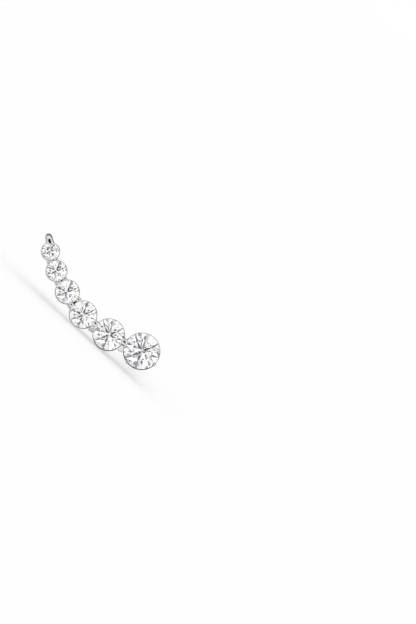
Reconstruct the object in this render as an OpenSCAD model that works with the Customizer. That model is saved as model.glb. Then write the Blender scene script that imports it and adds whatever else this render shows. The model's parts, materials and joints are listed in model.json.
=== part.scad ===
// Ear climber: six graduated round brilliants in a curved row, each in a low
// basket, with a plain ear post behind the largest stone and a hook of wire
// behind the smallest. It lies as it would on a table, on the outer edge of the
// row and the tip of its post, with the stones facing -Y.

/* [Stones] */
// Girdle diameter of the largest stone
large_d = 3.46; // [3:0.02:4]
// Girdle diameter of the smallest stone
small_d = 1.71; // [1.5:0.01:1.9]
// Width of the table, as a share of the girdle diameter
table_share = 0.56; // [0.5:0.01:0.62]
// Slope of the bezel facets above the girdle, in degrees
crown_angle = 34.5; // [30:0.5:38]
// Slope of the main facets below the girdle, in degrees
pavilion_angle = 40.75; // [39:0.25:42]
// Turn of every stone's facets from the level of the upright row, in degrees
facet_turn = 22.5; // [0:0.5:45]

/* [Setting] */
// How far the rim of a basket stands out past its stone
rim_overhang = 0.08; // [0.03:0.01:0.08]
// Radius of the round wire of the lower rail
rail_r = 0.16; // [0.12:0.01:0.2]
// Height of a basket's rim band
rim_height = 0.5; // [0.3:0.05:0.6]
// Turn of each head from the one before it, in degrees
twist_step = 1.6; // [0:0.2:2.4]
// Gap left between a stone and the metal that holds it
stone_gap = 0.03; // [0.02:0.005:0.04]

/* [Fastening] */
// Diameter of the ear post
post_d = 0.8; // [0.7:0.05:1]
// Length of the ear post behind its pad
post_len = 10; // [9:0.5:11]
// Diameter of the hook's wire
hook_d = 0.72; // [0.6:0.02:0.74]
// Length of the hook's straight leg
hook_len = 4.6; // [4:0.2:6]
// How far the leg spreads away from the row, in degrees
hook_splay = 18; // [14:1:22]

/* [Hidden] */
$fn = 48;

// One row for each gap between neighbours, from the largest stone upwards.
// Columns: gap between the girdles, heading of the step, and the beads' radius
// and distance from the row's centre line (0 is one bead, else one each side)
GAP = 0;
HEADING = 1;
BEAD_R = 2;
BEAD_OUT = 3;
gaps = [
    [0.32, 153.4, 0.38, 0],
    [0.32, 142.0, 0.34, 0],
    [0.22, 124.8, 0.25, 0.43],
    [0.16, 117.4, 0.22, 0.33],
    [0.13, 106.8, 0.20, 0.27],
];
last = len(gaps);

// Heads are counted from the largest, 0, to the smallest, last
function girdle_r(i) = large_d / 2 * pow(small_d / large_d, i / last);
function heading(i) = gaps[min(max(i, 0), last - 1)][HEADING];
function step_len(i) = girdle_r(i) + gaps[i][GAP] + girdle_r(i + 1);
function along(a) = [cos(a), sin(a), 0];
function head_at(i) = i == 0 ? [0, 0, 0] : head_at(i - 1) + step_len(i - 1) * along(heading(i - 1));
function head_turn(i) = (heading(i - 1) + heading(i)) / 2;

// Proportions of a stone of girdle radius r
girdle_half = 0.03;
star_share = 0.78;
lower_share = 0.24;
half_turn = 22.5;
arc_steps = 4;
function crown_z(r) = girdle_half * r + r * (1 - table_share) * tan(crown_angle);
function star_z(r) = girdle_half * r + r * (1 - star_share * cos(half_turn)) * tan(crown_angle);
function lower_z(r) = -girdle_half * r - r * (1 - lower_share * cos(half_turn)) * tan(pavilion_angle);
function culet_z(r) = -girdle_half * r - r * tan(pavilion_angle);

// Levels of a basket under a stone of girdle radius r
rim_drop = 0.02;
rim_edge = 0.05;
rim_wall = 0.34;
function rim_r(r) = r + rim_overhang;
function rim_top(r) = -girdle_half * r - stone_gap - rim_drop;
function rim_low(r) = rim_top(r) - rim_height;
function foot_r(r) = rim_r(r) - rim_edge / 2;
function foot_z(r) = rim_low(r) + rim_edge;
function rail_ring_r(r) = 0.86 * r - rail_r;
function rail_z(r) = -0.35 - 0.75 * r;

// The pad that carries the post, across the rail of the largest head
pad_r = 0.8;
pad_t = 0.32;
pad_bar_w = 0.5;
post_tip = 0.35;
post_tip_r = 0.2;
pad_top = culet_z(large_d / 2) - stone_gap - 0.05;
post_end = pad_top - pad_t - post_len;

// Two claws at the free end of the largest head, by their headings
claw_headings = [217, 312];
claw_r = 0.14;
claw_tip_r = 0.2;
claw_tip_z = 0.15;
claw_in = 0.1;

// The hook bends over just outside the smallest stone
hook_heading = 94;
hook_bend_r = 0.58;
hook_front_z = -0.08;
hook_rise = 1.8;
hook_front_r = 0.38;
hook_ball_r = 0.42;
hook_leg_heading = 104;

// How it lies: the row's outer edge is down on the rims of these two heads, and
// it leans back until the post's end is down too
rest_a = 1;
rest_b = 2;
rest_slope = asin((girdle_r(rest_a) - girdle_r(rest_b)) / step_len(rest_a));
roll = 180 - heading(rest_a) + rest_slope;
function height_before_lean(p) = p[0] * sin(roll) + p[1] * cos(roll);
floor_before_lean = height_before_lean(head_at(rest_a)) - foot_r(girdle_r(rest_a));
lean = atan((-floor_before_lean - post_d / 2) / (foot_z(girdle_r(rest_a)) - post_end - post_tip));
function foot_tilt(i) = lean + i * twist_step;
function foot_height(i) = height_before_lean(head_at(i)) * cos(lean)
    - foot_r(girdle_r(i)) * cos(foot_tilt(i)) + foot_z(girdle_r(i)) * sin(foot_tilt(i));
lift = -min(foot_height(rest_a), foot_height(rest_b));

// Middle of its outline seen from above, from the largest stone's centre
outline_mid = [-6.248, 5.473];

module stand() {
    translate([-outline_mid[0], -outline_mid[1], lift])
        rotate([90 - lean, 0, 0])
            rotate([0, 0, roll])
                children();
}

// A head's own frame: +X runs up the row, +Y to its outer edge, +Z out of the table
module at_head(i) {
    translate(head_at(i))
        rotate([0, 0, head_turn(i)])
            rotate([i * twist_step, 0, 0])
                children();
}

// The same kind of frame, half way across the gap that follows head i
module at_gap(i) {
    translate(head_at(i) + (girdle_r(i) + gaps[i][GAP] / 2) * along(heading(i)))
        rotate([0, 0, heading(i)])
            rotate([(i + 0.5) * twist_step, 0, 0])
                children();
}

module rod(from, to, r) {
    run = to - from;
    translate(from)
        rotate([0, acos(run[2] / norm(run)), atan2(run[1], run[0])])
            cylinder(r = r, h = norm(run));
}

// The space that a stone needs in the metal
module stone_space(r) {
    rotate_extrude($fn = 96)
        polygon([
            [0, crown_z(r) + 1],
            [table_share * r + stone_gap, crown_z(r) + 1],
            [table_share * r + stone_gap, crown_z(r) + stone_gap],
            [star_share * r + stone_gap, star_z(r) + stone_gap],
            [r + stone_gap, girdle_half * r + stone_gap],
            [r + stone_gap, -girdle_half * r - stone_gap],
            [lower_share * r + stone_gap, lower_z(r) - stone_gap],
            [0, culet_z(r) - stone_gap],
        ]);
}

// Upper rim of a basket: a band whose outer wall leans in a little
module rim(r) {
    rotate_extrude($fn = 96)
        polygon([
            [rim_r(r) - rim_wall, rim_top(r)],
            [rim_r(r) - rim_edge, rim_top(r)],
            [rim_r(r), rim_top(r) - rim_edge],
            [foot_r(r), foot_z(r)],
            [rim_r(r) - 1.5 * rim_edge, rim_low(r)],
            [rim_r(r) - rim_wall, rim_low(r)],
        ]);
}

module rail(r) {
    translate([0, 0, rail_z(r)])
        rotate_extrude($fn = 96)
            translate([rail_ring_r(r), 0])
                circle(r = rail_r, $fn = 32);
}

// Column between two baskets, a wall that carries the shared beads. Past the
// beads its top falls away to the outer edge of the row
column_t = 0.5;
column_drop = 0.16;
column_out = 0.53;
column_in = 0.5;
column_flat = 0.1;
column_fall = 0.4;
module column(i) {
    mean_r = (girdle_r(i) + girdle_r(i + 1)) / 2;
    t = min(column_t, 2 * gaps[i][BEAD_R]);
    low = rail_z(mean_r) - rail_r;
    flat = gaps[i][BEAD_OUT] + column_flat;
    translate([-t / 2, 0, 0])
        rotate([90, 0, 90])
            linear_extrude(t)
                polygon([
                    [gaps[i][BEAD_OUT] == 0 ? -flat : -column_in * mean_r, low],
                    [column_out * mean_r, low],
                    [column_out * mean_r, -column_drop - column_fall],
                    [flat, -column_drop],
                    [gaps[i][BEAD_OUT] == 0 ? -flat : -column_in * mean_r, -column_drop],
                ]);
}

// Beads that hold two neighbouring stones, each on its own stub
bead_z = 0.19;
module beads(i) {
    r = gaps[i][BEAD_R];
    out = gaps[i][BEAD_OUT];
    for (side = out == 0 ? [0] : [-1, 1])
        translate([0, side * out, bead_z]) {
            sphere(r = r, $fn = 40);
            translate([0, 0, -bead_z - 2 * column_drop])
                cylinder(r = 0.86 * r, h = bead_z + 2 * column_drop);
        }
}

// Bar that joins the lower rails under a column
module link(i) {
    rod([-gaps[i][GAP] / 2 - girdle_r(i) + rail_ring_r(girdle_r(i)), 0, rail_z(girdle_r(i))],
        [gaps[i][GAP] / 2 + girdle_r(i + 1) - rail_ring_r(girdle_r(i + 1)), 0, rail_z(girdle_r(i + 1))],
        0.9 * rail_r);
}

// Claw that rises from the rail past the rim and ends in a small ball
module claw(heading) {
    r = girdle_r(0);
    rotate([0, 0, heading - head_turn(0)]) {
        rod([rail_ring_r(r), 0, rail_z(r)], [rim_r(r) - claw_in / 2, 0, 0], claw_r);
        translate([rim_r(r) - claw_in, 0, claw_tip_z])
            sphere(r = claw_tip_r, $fn = 32);
    }
}

module post() {
    r = girdle_r(0);
    translate([0, 0, pad_top - pad_t])
        cylinder(r = pad_r, h = pad_t);
    translate([-pad_bar_w / 2, -rail_ring_r(r), pad_top - pad_t])
        cube([pad_bar_w, 2 * rail_ring_r(r), pad_t]);
    translate([0, 0, post_end + post_tip])
        cylinder(d = post_d, h = post_len - post_tip + pad_t / 2);
    translate([0, 0, post_end])
        cylinder(r1 = post_tip_r, r2 = post_d / 2, h = post_tip);
}

// Wire that leaves the smallest head, bends back over and runs down behind the row
module hook() {
    bend_at = hook_rise - hook_bend_r - hook_d / 2;
    translate(head_at(last) + bend_at * along(hook_heading))
        rotate([0, 0, hook_leg_heading])
            translate([0, 0, hook_front_z - hook_bend_r])
                rotate([90, 0, 0]) {
                    translate([0, hook_bend_r, 0])
                        sphere(r = hook_front_r, $fn = 40);
                    rotate([0, 0, hook_splay - 90])
                        rotate_extrude(angle = 180 - hook_splay, $fn = 64)
                            translate([hook_bend_r, 0])
                                circle(d = hook_d, $fn = 32);
                    rotate([0, 0, hook_splay])
                        translate([0, -hook_bend_r, 0])
                            rotate([0, -90, 0]) {
                                cylinder(d = hook_d, h = hook_len, $fn = 32);
                                translate([0, 0, hook_len])
                                    sphere(r = hook_ball_r, $fn = 40);
                            }
                }
}

// Metal that has been cut back to leave room for the stones of these heads
module fitted(heads) {
    difference() {
        union()
            children();
        for (i = heads)
            at_head(i)
                stone_space(girdle_r(i));
    }
}

module setting() {
    color("silver")
        stand() {
            for (i = [0:last])
                at_head(i)
                    rail(girdle_r(i));
            for (i = [0:last])
                fitted([i])
                    at_head(i)
                        rim(girdle_r(i));
            for (i = [0:last - 1])
                fitted([i, i + 1])
                    at_gap(i) {
                        column(i);
                        beads(i);
                        link(i);
                    }
            for (a = claw_headings)
                fitted([0])
                    at_head(0)
                        claw(a);
            at_head(0)
                post();
            fitted([last])
                hook();
        }
}

// Round brilliant: table, 8 stars, 8 bezels, 16 upper halves, girdle, 16 lower
// halves and 8 mains, every facet flat. Its girdle lies in the plane z = 0
function ring_point(r, a, z) = [r * cos(a), r * sin(a), z];
function girdle_z(r, j, share, peak) =
    let (a = (j % arc_steps) * half_turn / arc_steps - half_turn / 2)
    girdle_half * r - (peak - girdle_half * r) * (cos(a) / cos(half_turn / 2) - 1) / (1 - share);
module brilliant(r) {
    n = 16 * arc_steps;
    star = 8;
    upper = 16;
    lower = upper + n;
    deep = lower + n;
    culet = deep + 8;
    eighth = 2 * arc_steps;
    points = concat(
        [for (k = [0:7]) ring_point(table_share * r, 2 * k * half_turn, crown_z(r))],
        [for (k = [0:7]) ring_point(star_share * r, (2 * k + 1) * half_turn, star_z(r))],
        [for (j = [0:n - 1]) ring_point(r, j * 360 / n, girdle_z(r, j, star_share, star_z(r)))],
        [for (j = [0:n - 1]) ring_point(r, j * 360 / n, -girdle_z(r, j, lower_share, -lower_z(r)))],
        [for (k = [0:7]) ring_point(lower_share * r, (2 * k + 1) * half_turn, lower_z(r))],
        [[0, 0, culet_z(r)]]
    );
    faces = concat(
        [[for (k = [7:-1:0]) k]],
        [for (k = [0:7]) [(k + 1) % 8, star + k, k]],
        [for (k = [0:7]) [star + k, upper + eighth * k, star + (k + 7) % 8, k]],
        [for (h = [0:15]) concat([star + floor(h / 2)],
            [for (j = [arc_steps:-1:0]) upper + (h * arc_steps + j) % n])],
        [for (j = [0:n - 1]) [upper + j, upper + (j + 1) % n, lower + (j + 1) % n, lower + j]],
        [for (h = [0:15]) concat([deep + floor(h / 2)],
            [for (j = [0:arc_steps]) lower + (h * arc_steps + j) % n])],
        [for (k = [0:7]) [culet, deep + (k + 7) % 8, lower + eighth * k, deep + k]]
    );
    polyhedron(points, faces);
}

// Stones are numbered from the top of the row, so stone_6 is the largest
module stone(number) {
    i = last + 1 - number;
    color("aliceblue", 0.6)
        stand()
            at_head(i)
                rotate([0, 0, facet_turn - head_turn(i)])
                    brilliant(girdle_r(i));
}

setting();
stone(1);  // stone_1
stone(2);  // stone_2
stone(3);  // stone_3
stone(4);  // stone_4
stone(5);  // stone_5
stone(6);  // stone_6
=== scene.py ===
import json
import math

import bpy
from mathutils import Matrix, Vector

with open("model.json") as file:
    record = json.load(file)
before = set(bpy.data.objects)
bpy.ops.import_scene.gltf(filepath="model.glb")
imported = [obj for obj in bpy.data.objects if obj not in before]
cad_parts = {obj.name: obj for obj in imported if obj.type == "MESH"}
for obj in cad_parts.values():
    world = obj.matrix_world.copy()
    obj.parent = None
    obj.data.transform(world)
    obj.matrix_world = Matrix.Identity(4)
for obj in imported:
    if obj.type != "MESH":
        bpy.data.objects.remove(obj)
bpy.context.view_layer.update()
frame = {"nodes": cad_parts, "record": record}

# The way it lies
# The row rests on its outer edge and leans back on the tip of its ear post. The
# post stands square behind the largest stone, so its axis gives the lean, and the
# row is turned this far from the way that it stands on the ear.
MM = 0.001
ROW_TURN = math.radians(41.6)
GIRDLE_TO_PAD = 1.943 * MM

post = next(m for m in frame["record"]["mounts"] if m["name"] == "ear_post")
face = -Vector(post["axis"]).normalized()
lean = math.asin(face.z)
row_to_frame = Matrix.Rotation(math.pi / 2 - lean, 3, "X") @ Matrix.Rotation(ROW_TURN, 3, "Z")
largest_centre = Vector(post["pos_m"]) + face * GIRDLE_TO_PAD

# Camera
# It looks at the stones from a little below the row's outer edge, as the photo
# does, and is rolled with the row, so that the row stands in the picture as worn.
PHOTO_W, PHOTO_H = 416, 624
LARGEST_PX = (141.8, 351.2)
PX_PER_MM = 10.4
VIEW_OFF_FACE = math.radians(5)
VIEW_SIDE = math.radians(228.4)
CAMERA_DISTANCE = 0.35
SENSOR = 36.0
NEAREST_SEEN, FARTHEST_SEEN = 0.05, 50

towards_camera = row_to_frame @ Vector((
    math.sin(VIEW_OFF_FACE) * math.cos(VIEW_SIDE),
    math.sin(VIEW_OFF_FACE) * math.sin(VIEW_SIDE),
    math.cos(VIEW_OFF_FACE),
))
picture_right = (row_to_frame @ Vector((0, 1, 0))).cross(towards_camera).normalized()
picture_up = towards_camera.cross(picture_right)
px = MM / PX_PER_MM
picture_centre = (
    largest_centre
    + picture_right * (PHOTO_W / 2 - LARGEST_PX[0]) * px
    + picture_up * (LARGEST_PX[1] - PHOTO_H / 2) * px
)
camera = bpy.data.objects.new("camera", bpy.data.cameras.new("camera"))
bpy.context.collection.objects.link(camera)
camera.data.sensor_width = SENSOR
camera.data.lens = SENSOR * CAMERA_DISTANCE / (PHOTO_H * px)
camera.data.clip_start = NEAREST_SEEN
camera.data.clip_end = FARTHEST_SEEN
facing = Matrix((picture_right, picture_up, towards_camera)).transposed().to_4x4()
camera.matrix_world = Matrix.Translation(picture_centre + towards_camera * CAMERA_DISTANCE) @ facing
bpy.context.scene.camera = camera

# Floor
# A plain white board, wider than the picture, lifted to even white by a flat glow. The
# stones and the metal see a glowing copy of it in painted shades instead of the lit board:
# bright near the row, black far in front, a blue band for the stones and, in the metal,
# painted shade dark right under the large stones and grey behind the row.
FLOOR_SIZE = 12.0
FLOOR_WHITE = (0.4, 0.4, 0.402, 1)
FLOOR_LIFT = 0.4856
# Painted shades from front to back: the place along Y in millimetres, and the colour there.
PAINTED_SHADES_BY_LARGE_STONES = (
    (-20.0, (0.03, 0.03, 0.03)),
    (-14.0, (0.95, 0.95, 0.96)),
    (-6.7, (0.95, 0.95, 0.96)),
    # Painted shade: a dark strip of floor right under the large stones, for the metal to mirror.
    (-6.1, (0.05, 0.05, 0.05)),
    (-5.0, (0.05, 0.05, 0.05)),
    (-4.0, (0.5, 0.495, 0.48)),
    (12.0, (0.7, 0.695, 0.68)),
)
PAINTED_SHADES_BY_SMALL_STONES = (
    (-20.0, (0.03, 0.03, 0.03)),
    (-14.0, (0.95, 0.95, 0.96)),
    (-6.7, (0.9, 0.9, 0.91)),
    (-6.1, (0.56, 0.555, 0.54)),
    (12.0, (0.7, 0.695, 0.68)),
)
PAINTED_SHADES_IN_STONES = (
    # Painted reflections for the facets: black far in front, then a blue band, then white.
    (-23.0, (0.03, 0.03, 0.035)),
    (-20.0, (0.42, 0.49, 0.63)),
    (-16.0, (0.98, 0.98, 0.98)),
)
LARGE_FROM, SMALL_FROM = 3.5 * MM, 1.0 * MM
STRIP_FROM, STRIP_TO = -40 * MM, 20 * MM

bpy.ops.mesh.primitive_plane_add(size=FLOOR_SIZE)
floor = bpy.context.object
floor.name = "floor"
board = bpy.data.materials.new("white_board")
board.use_nodes = True
tree = board.node_tree
shader = tree.nodes["Principled BSDF"]
shader.inputs["Base Color"].default_value = FLOOR_WHITE
shader.inputs["Roughness"].default_value = 1
shader.inputs["Specular IOR Level"].default_value = 0
shader.inputs["Emission Color"].default_value = (1, 1, 1, 1)
shader.inputs["Emission Strength"].default_value = FLOOR_LIFT
across = tree.nodes.new("ShaderNodeSeparateXYZ")
tree.links.new(tree.nodes.new("ShaderNodeTexCoord").outputs["Object"], across.inputs[0])
depth = tree.nodes.new("ShaderNodeMapRange")
depth.inputs["From Min"].default_value = STRIP_FROM
depth.inputs["From Max"].default_value = STRIP_TO
tree.links.new(across.outputs["Y"], depth.inputs["Value"])
along = tree.nodes.new("ShaderNodeMapRange")
along.inputs["From Min"].default_value = SMALL_FROM
along.inputs["From Max"].default_value = LARGE_FROM
tree.links.new(across.outputs["X"], along.inputs["Value"])
painted_floor_mirrored = tree.nodes.new("ShaderNodeMix")
painted_floor_mirrored.data_type = "RGBA"
tree.links.new(along.outputs["Result"], painted_floor_mirrored.inputs["Factor"])
ray_kind = tree.nodes.new("ShaderNodeLightPath")
painted_floor_shades = tree.nodes.new("ShaderNodeMix")
painted_floor_shades.data_type = "RGBA"
tree.links.new(ray_kind.outputs["Is Transmission Ray"], painted_floor_shades.inputs["Factor"])
tree.links.new(painted_floor_mirrored.outputs[2], painted_floor_shades.inputs[6])
for shades_mm, socket in (
    (PAINTED_SHADES_BY_SMALL_STONES, painted_floor_mirrored.inputs[6]),
    (PAINTED_SHADES_BY_LARGE_STONES, painted_floor_mirrored.inputs[7]),
    (PAINTED_SHADES_IN_STONES, painted_floor_shades.inputs[7]),
):
    shades = tree.nodes.new("ShaderNodeValToRGB")
    tree.links.new(depth.outputs["Result"], shades.inputs["Fac"])
    tree.links.new(shades.outputs["Color"], socket)
    stops = shades.color_ramp.elements
    stops.remove(stops[1])
    for y_mm, colour in shades_mm:
        stops.new((y_mm * MM - STRIP_FROM) / (STRIP_TO - STRIP_FROM)).color = (*colour, 1)
    stops.remove(stops[0])
# Rays other than the eye's see this glow in the painted shades, not the lit board.
painted_floor_glow = tree.nodes.new("ShaderNodeEmission")
tree.links.new(painted_floor_shades.outputs[2], painted_floor_glow.inputs["Color"])
either = tree.nodes.new("ShaderNodeMixShader")
tree.links.new(ray_kind.outputs["Is Camera Ray"], either.inputs[0])
tree.links.new(painted_floor_glow.outputs[0], either.inputs[1])
tree.links.new(shader.outputs[0], either.inputs[2])
tree.links.new(either.outputs[0], tree.nodes["Material Output"].inputs["Surface"])
floor.data.materials.append(board)

# Light
# A white tent that turns grey behind the object, with cards hung in it: small ones
# that the facets pick up, and two broad black ones for the metal. The eye sees plain
# white. A soft sun from behind, which only the floor takes, throws the shadow.
TENT_FRONT = (1.3, 1.3, 1.3, 1)
TENT_BACK = (0.85, 0.85, 0.85, 1)
METAL_FRONT = (1.0, 0.995, 0.98, 1)
METAL_BACK = (0.2, 0.195, 0.185, 1)
STONES_FADE = (0.05, 0.55)
METAL_FADE = (-0.2, 0.5)
BLACK = (0.02, 0.02, 0.026)
BLUE = (0.42, 0.49, 0.63)
PEACH = (1.05, 0.9, 0.78)
# Each card: angle off the line to the camera, direction round it counted from the
# picture's right, radius (all in degrees), and its colour.
CARDS = (
    (18.5, 84, 6.5, BLACK),
    (15, 35, 5, BLACK),
    (10.5, 178, 4, BLACK),
    (9.8, 267, 3.5, BLACK),
    (13, 262, 6, BLUE),
    (26, 100, 5, BLUE),
    (29, 66, 3.5, BLACK),
    (26, 20, 3.5, BLACK),
    (45, 60, 3.5, BLACK),
    (34, 0, 4, BLACK),
    (42, 31, 4.5, BLACK),
    (38, 330, 4, BLACK),
    (30, 160, 6, BLUE),
    (33, 280, 6, BLUE),
    (40, 150, 9, BLUE),
    (45, 230, 9, BLUE),
    (50, 60, 8, BLUE),
    (55, 20, 7, BLUE),
    (60, 180, 6, BLACK),
    (52, 300, 5, PEACH),
    (62, 140, 6, PEACH),
)
CARD_SOFT = 1.5
METAL_CARDS = ((12, 90, 40, BLACK), (14, 270, 34, BLACK))
METAL_CARD_SOFT = 6
SUN_HEIGHT = math.radians(54)
SUN_TURN = math.radians(22)
SUN_SPREAD = math.radians(60)
SUN_STRENGTH = 0.6
BOUNCES_IN_STONES = 32
BOUNCES_IN_METAL = 12
BOUNCE_CLAMP = 4.0

world = bpy.data.worlds.new("tent")
bpy.context.scene.world = world
world.use_nodes = True
tent = world.node_tree
tent.nodes.clear()
ray = tent.nodes.new("ShaderNodeTexCoord").outputs["Generated"]
path = tent.nodes.new("ShaderNodeLightPath")


def towards(direction):
    """How closely a ray of the tent runs towards a direction, as a cosine."""
    node = tent.nodes.new("ShaderNodeVectorMath")
    node.operation = "DOT_PRODUCT"
    tent.links.new(ray, node.inputs[0])
    node.inputs[1].default_value = direction.normalized()
    return node.outputs["Value"]


def blend(share, under, over):
    """Lays one colour over another, each a socket or plain numbers."""
    mix = tent.nodes.new("ShaderNodeMix")
    mix.data_type = "RGBA"
    tent.links.new(share, mix.inputs["Factor"])
    for socket, colour in ((mix.inputs[6], under), (mix.inputs[7], over)):
        if isinstance(colour, bpy.types.NodeSocket):
            tent.links.new(colour, socket)
        else:
            socket.default_value = (*colour[:3], 1)
    return mix.outputs[2]


def fade(cosine, start, end):
    """0 at the cosine start, 1 from the cosine end."""
    ramp = tent.nodes.new("ShaderNodeMapRange")
    ramp.interpolation_type = "SMOOTHSTEP"
    tent.links.new(cosine, ramp.inputs["Value"])
    ramp.inputs["From Min"].default_value = start
    ramp.inputs["From Max"].default_value = end
    return ramp.outputs["Result"]


def hang_card(under, off, around, radius, colour, soft):
    """A round card in the tent, seen from the object."""
    off, around = math.radians(off), math.radians(around)
    aim = towards_camera * math.cos(off) + math.sin(off) * (
        picture_right * math.cos(around) + picture_up * math.sin(around))
    start, end = math.cos(math.radians(radius + soft)), math.cos(math.radians(radius))
    return blend(fade(towards(aim), start, end), under, colour)


backwards = towards(-towards_camera)
stones_see = blend(fade(backwards, *STONES_FADE), TENT_FRONT, TENT_BACK)
for card in CARDS:
    stones_see = hang_card(stones_see, *card, CARD_SOFT)
metal_sees = blend(fade(backwards, *METAL_FADE), METAL_FRONT, METAL_BACK)
for card in METAL_CARDS:
    metal_sees = hang_card(metal_sees, *card, METAL_CARD_SOFT)
sky = tent.nodes.new("ShaderNodeBackground")
bounced = blend(path.outputs["Is Glossy Ray"], stones_see, metal_sees)
tent.links.new(blend(path.outputs["Is Transmission Ray"], bounced, stones_see), sky.inputs["Color"])
plain = tent.nodes.new("ShaderNodeBackground")
plain.inputs["Color"].default_value = (1, 1, 1, 1)
seen = tent.nodes.new("ShaderNodeMixShader")
tent.links.new(path.outputs["Is Camera Ray"], seen.inputs[0])
tent.links.new(sky.outputs[0], seen.inputs[1])
tent.links.new(plain.outputs[0], seen.inputs[2])
tent.links.new(seen.outputs[0], tent.nodes.new("ShaderNodeOutputWorld").inputs["Surface"])

sun = bpy.data.objects.new("sun", bpy.data.lights.new("sun", "SUN"))
bpy.context.collection.objects.link(sun)
sun.data.energy = SUN_STRENGTH
sun.data.angle = SUN_SPREAD
shadow_way = Vector((0, 0, 1)).cross(picture_right).normalized()
shadow_way *= -math.copysign(1, shadow_way.y)
shadow_way.rotate(Matrix.Rotation(SUN_TURN, 3, "Z"))
sun_way = shadow_way * math.cos(SUN_HEIGHT) - Vector((0, 0, math.sin(SUN_HEIGHT)))
sun.rotation_euler = sun_way.to_track_quat("-Z", "Y").to_euler()
sun.visible_glossy = False
sun.visible_transmission = False

scene = bpy.context.scene
scene.view_settings.view_transform = "Standard"
scene.cycles.max_bounces = BOUNCES_IN_STONES
scene.cycles.transmission_bounces = BOUNCES_IN_STONES
scene.cycles.glossy_bounces = BOUNCES_IN_METAL
scene.cycles.sample_clamp_indirect = BOUNCE_CLAMP

# Setting
# Cast and soldered white gold, polished bright: a rim and a lower rail for each
# stone, columns and beads between them, the post on its pad and the hook. The
# polish leaves hairlines and a few soft pits that only show close up.
GOLD_PALE = (0.86, 0.85, 0.83, 1)
GOLD_WARM = (0.8, 0.78, 0.74, 1)
GOLD_CLOUD_SCALE = 1100
GOLD_CLOUD_EDGES = (0.35, 0.65)
HAIRLINE_TURN = (0.4, 0.7, 0.3)
HAIRLINE_STRETCH = (900, 9000, 9000)
HAIRLINE_EDGES = (0.35, 0.7)
HAIRLINE_ROUGHNESS = (0.05, 0.15)
PIT_SCALE = 5200
PIT_EDGE = (0.07, 0.17)
PIT_DEPTH = 3e-6
PIT_STRENGTH = 0.5


def new_group(name, outputs):
    """A shader node group, the place that comes into it, and its output node."""
    group = bpy.data.node_groups.new(name, "ShaderNodeTree")
    group.interface.new_socket(name="Place", in_out="INPUT", socket_type="NodeSocketVector")
    for label, kind in outputs:
        group.interface.new_socket(name=label, in_out="OUTPUT", socket_type=kind)
    place = group.nodes.new("NodeGroupInput").outputs["Place"]
    return group, place, group.nodes.new("NodeGroupOutput")


def noise(tree, vector, scale, detail):
    """Fractal noise from 0 to 1."""
    node = tree.nodes.new("ShaderNodeTexNoise")
    node.inputs["Scale"].default_value = scale
    node.inputs["Detail"].default_value = detail
    tree.links.new(vector, node.inputs["Vector"])
    return node.outputs["Fac"]


def remap(tree, value, low, high, to_low, to_high):
    """Maps low..high onto to_low..to_high, held at both ends."""
    node = tree.nodes.new("ShaderNodeMapRange")
    tree.links.new(value, node.inputs["Value"])
    limits = (("From Min", low), ("From Max", high), ("To Min", to_low), ("To Max", to_high))
    for key, number in limits:
        node.inputs[key].default_value = number
    return node.outputs["Result"]


def mix_colours(tree, share, first, second):
    """Goes from the first colour to the second."""
    node = tree.nodes.new("ShaderNodeMix")
    node.data_type = "RGBA"
    tree.links.new(share, node.inputs["Factor"])
    node.inputs[6].default_value = first
    node.inputs[7].default_value = second
    return node.outputs[2]


def worn_polish():
    """Colour, roughness and normal of polished white gold."""
    group, place, out = new_group("worn_polish", (
        ("Color", "NodeSocketColor"),
        ("Roughness", "NodeSocketFloat"),
        ("Normal", "NodeSocketVector"),
    ))
    clouds = remap(group, noise(group, place, GOLD_CLOUD_SCALE, 3), *GOLD_CLOUD_EDGES, 0, 1)
    group.links.new(mix_colours(group, clouds, GOLD_PALE, GOLD_WARM), out.inputs["Color"])

    stretch = group.nodes.new("ShaderNodeMapping")
    stretch.inputs["Rotation"].default_value = HAIRLINE_TURN
    stretch.inputs["Scale"].default_value = HAIRLINE_STRETCH
    group.links.new(place, stretch.inputs["Vector"])
    hairlines = noise(group, stretch.outputs["Vector"], 1, 4)
    roughness = remap(group, hairlines, *HAIRLINE_EDGES, *HAIRLINE_ROUGHNESS)
    group.links.new(roughness, out.inputs["Roughness"])

    pits = group.nodes.new("ShaderNodeTexVoronoi")
    pits.inputs["Scale"].default_value = PIT_SCALE
    group.links.new(place, pits.inputs["Vector"])
    bump = group.nodes.new("ShaderNodeBump")
    bump.inputs["Strength"].default_value = PIT_STRENGTH
    bump.inputs["Distance"].default_value = PIT_DEPTH
    group.links.new(remap(group, pits.outputs["Distance"], *PIT_EDGE, 0, 1), bump.inputs["Height"])
    group.links.new(bump.outputs["Normal"], out.inputs["Normal"])
    return group


def finish(material, group, sockets):
    """Feeds the shader's sockets from a group's outputs and the group from Object coordinates."""
    tree = material.node_tree
    node = tree.nodes.new("ShaderNodeGroup")
    node.node_tree = group
    for label, socket in sockets:
        tree.links.new(node.outputs[label], tree.nodes["Principled BSDF"].inputs[socket])
    place = tree.nodes.new("ShaderNodeMapping")
    tree.links.new(tree.nodes.new("ShaderNodeTexCoord").outputs["Object"], place.inputs["Vector"])
    tree.links.new(place.outputs["Vector"], node.inputs["Place"])
    return place


gold = bpy.data.materials.new("white_gold")
gold.use_nodes = True
gold.node_tree.nodes["Principled BSDF"].inputs["Metallic"].default_value = 1
finish(gold, worn_polish(), (
    ("Color", "Base Color"), ("Roughness", "Roughness"), ("Normal", "Normal")))
frame["nodes"]["setting"].material_slots[0].material = gold

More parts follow.
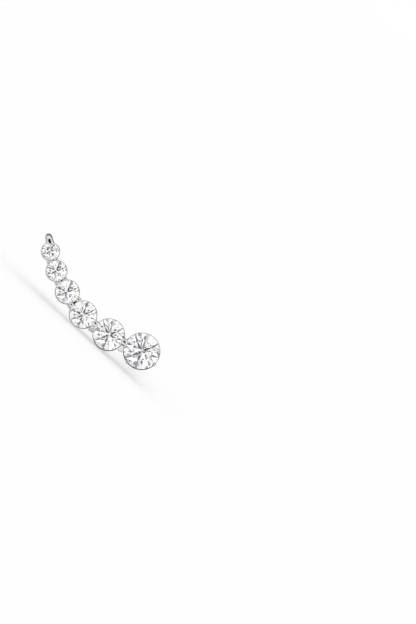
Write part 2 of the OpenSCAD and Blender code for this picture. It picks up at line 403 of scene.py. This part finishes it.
# Stones
# Clear round brilliants with flat polished facets and a frosted, bruted girdle.
# Each has its own material, whose coordinates start at its middle, turn with its
# axis and count in girdle radii, so that one group serves all six.
GIRDLE_HALF = 0.03
TABLE_SHARE = 0.56
CROWN_ANGLE = math.radians(34.5)
CROWN_HEIGHT = GIRDLE_HALF + (1 - TABLE_SHARE) * math.tan(CROWN_ANGLE)
SAME_FACET = 0.9999
DIAMOND_IOR = 2.42
BRUTED_FROM, BRUTED_FULL = 0.9955, 0.9965
BRUTED_SCALE = 60
BRUTED_EDGES = (0.3, 0.7)
BRUTED_ROUGHNESS = (0.3, 0.55)
FILM_SCALE = 3
FILM_EDGES = (0.5, 0.8)
FILM_ROUGHNESS = (0.01, 0.02)
ZONE_SCALE = 0.9
ZONE_EDGES = (0.3, 0.7)
CLEAR_COOL = (0.985, 0.992, 1, 1)
CLEAR_WARM = (1, 0.994, 0.98, 1)


def cut_stone():
    """Colour and roughness of a stone of girdle radius 1, its axis along Z."""
    group, place, out = new_group("cut_stone", (
        ("Color", "NodeSocketColor"), ("Roughness", "NodeSocketFloat")))
    zones = remap(group, noise(group, place, ZONE_SCALE, 1), *ZONE_EDGES, 0, 1)
    group.links.new(mix_colours(group, zones, CLEAR_COOL, CLEAR_WARM), out.inputs["Color"])

    flat = group.nodes.new("ShaderNodeVectorMath")
    flat.operation = "MULTIPLY"
    group.links.new(place, flat.inputs[0])
    flat.inputs[1].default_value = (1, 1, 0)
    reach = group.nodes.new("ShaderNodeVectorMath")
    reach.operation = "LENGTH"
    group.links.new(flat.outputs["Vector"], reach.inputs[0])
    girdle = remap(group, reach.outputs["Value"], BRUTED_FROM, BRUTED_FULL, 0, 1)
    frost = group.nodes.new("ShaderNodeMath")
    frost.operation = "MULTIPLY"
    group.links.new(girdle, frost.inputs[0])
    grain = remap(group, noise(group, place, BRUTED_SCALE, 2), *BRUTED_EDGES, *BRUTED_ROUGHNESS)
    group.links.new(grain, frost.inputs[1])
    film = remap(group, noise(group, place, FILM_SCALE, 3), *FILM_EDGES, *FILM_ROUGHNESS)
    total = group.nodes.new("ShaderNodeMath")
    total.operation = "ADD"
    group.links.new(frost.outputs["Value"], total.inputs[0])
    group.links.new(film, total.inputs[1])
    group.links.new(total.outputs["Value"], out.inputs["Roughness"])
    return group


stone_group = cut_stone()
for number in range(1, 7):
    stone = frame["nodes"][f"stone_{number}"]
    table = max(stone.data.polygons, key=lambda facet: facet.area)
    table_facets = [f for f in stone.data.polygons if f.normal.dot(table.normal) > SAME_FACET]
    table_area = sum(f.area for f in table_facets)
    table_middle = sum((f.center * f.area for f in table_facets), Vector()) / table_area
    axis = table.normal.copy()
    girdle_r = max((axis.cross(v.co - table_middle)).length for v in stone.data.vertices)
    middle = table_middle - axis * CROWN_HEIGHT * girdle_r
    turn = axis.rotation_difference(Vector((0, 0, 1))).to_matrix()

    diamond = bpy.data.materials.new(f"diamond_{number}")
    diamond.use_nodes = True
    shader = diamond.node_tree.nodes["Principled BSDF"]
    shader.inputs["IOR"].default_value = DIAMOND_IOR
    shader.inputs["Transmission Weight"].default_value = 1
    place = finish(diamond, stone_group, (("Color", "Base Color"), ("Roughness", "Roughness")))
    place.inputs["Scale"].default_value = (1 / girdle_r,) * 3
    place.inputs["Rotation"].default_value = turn.to_euler()
    place.inputs["Location"].default_value = -(turn @ middle) / girdle_r
    stone.material_slots[0].material = diamond
